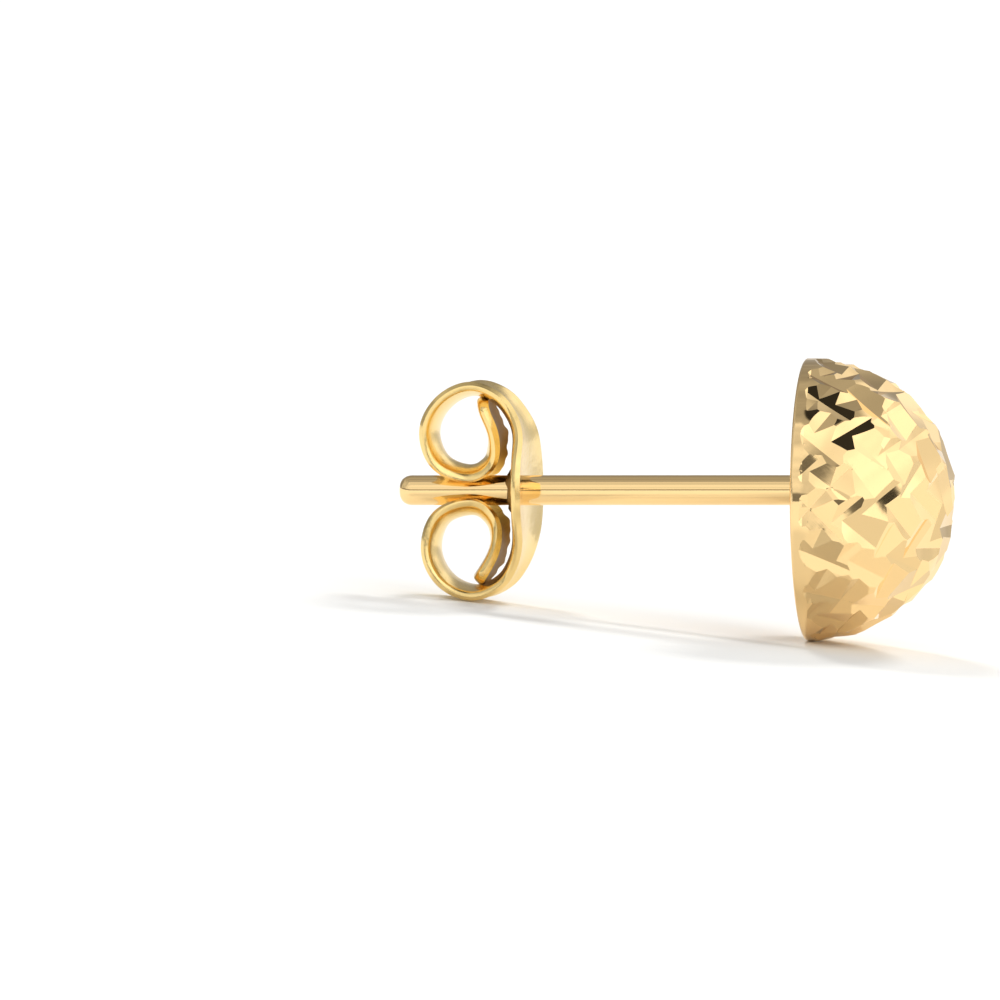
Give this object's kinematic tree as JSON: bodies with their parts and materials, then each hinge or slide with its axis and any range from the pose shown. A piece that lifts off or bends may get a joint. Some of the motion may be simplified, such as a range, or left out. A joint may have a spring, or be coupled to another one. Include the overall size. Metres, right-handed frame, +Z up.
{
  "type": "half ball stud earring",
  "caption": "Half ball stud earring: hollow half ball with a diamond-cut outside, a straight post and a butterfly clutch that slides on it.",
  "frame": {"origin": "on the surface it lies on, under the middle of its box", "axes": "+Z up, +X from the post's tip towards the cut side of the half ball, +Y across the clutch"},
  "size_m": [0.0138, 0.007, 0.007],
  "materials": {
    "polished_gold": "diamond-cut and polished yellow gold",
    "stamped_gold": "stamped and tumbled yellow gold"
  },
  "bodies": {
    "stud": {"half_ball_post": "polished_gold"},
    "clutch": {"butterfly_clutch": "stamped_gold"}
  },
  "joints": [
    {"name": "clutch_slide", "type": "slide", "parent": "stud", "child": "clutch", "axis": [-0.9933, 0, -0.116], "range_m": [-0.0066, 0.0032]}
  ]
}
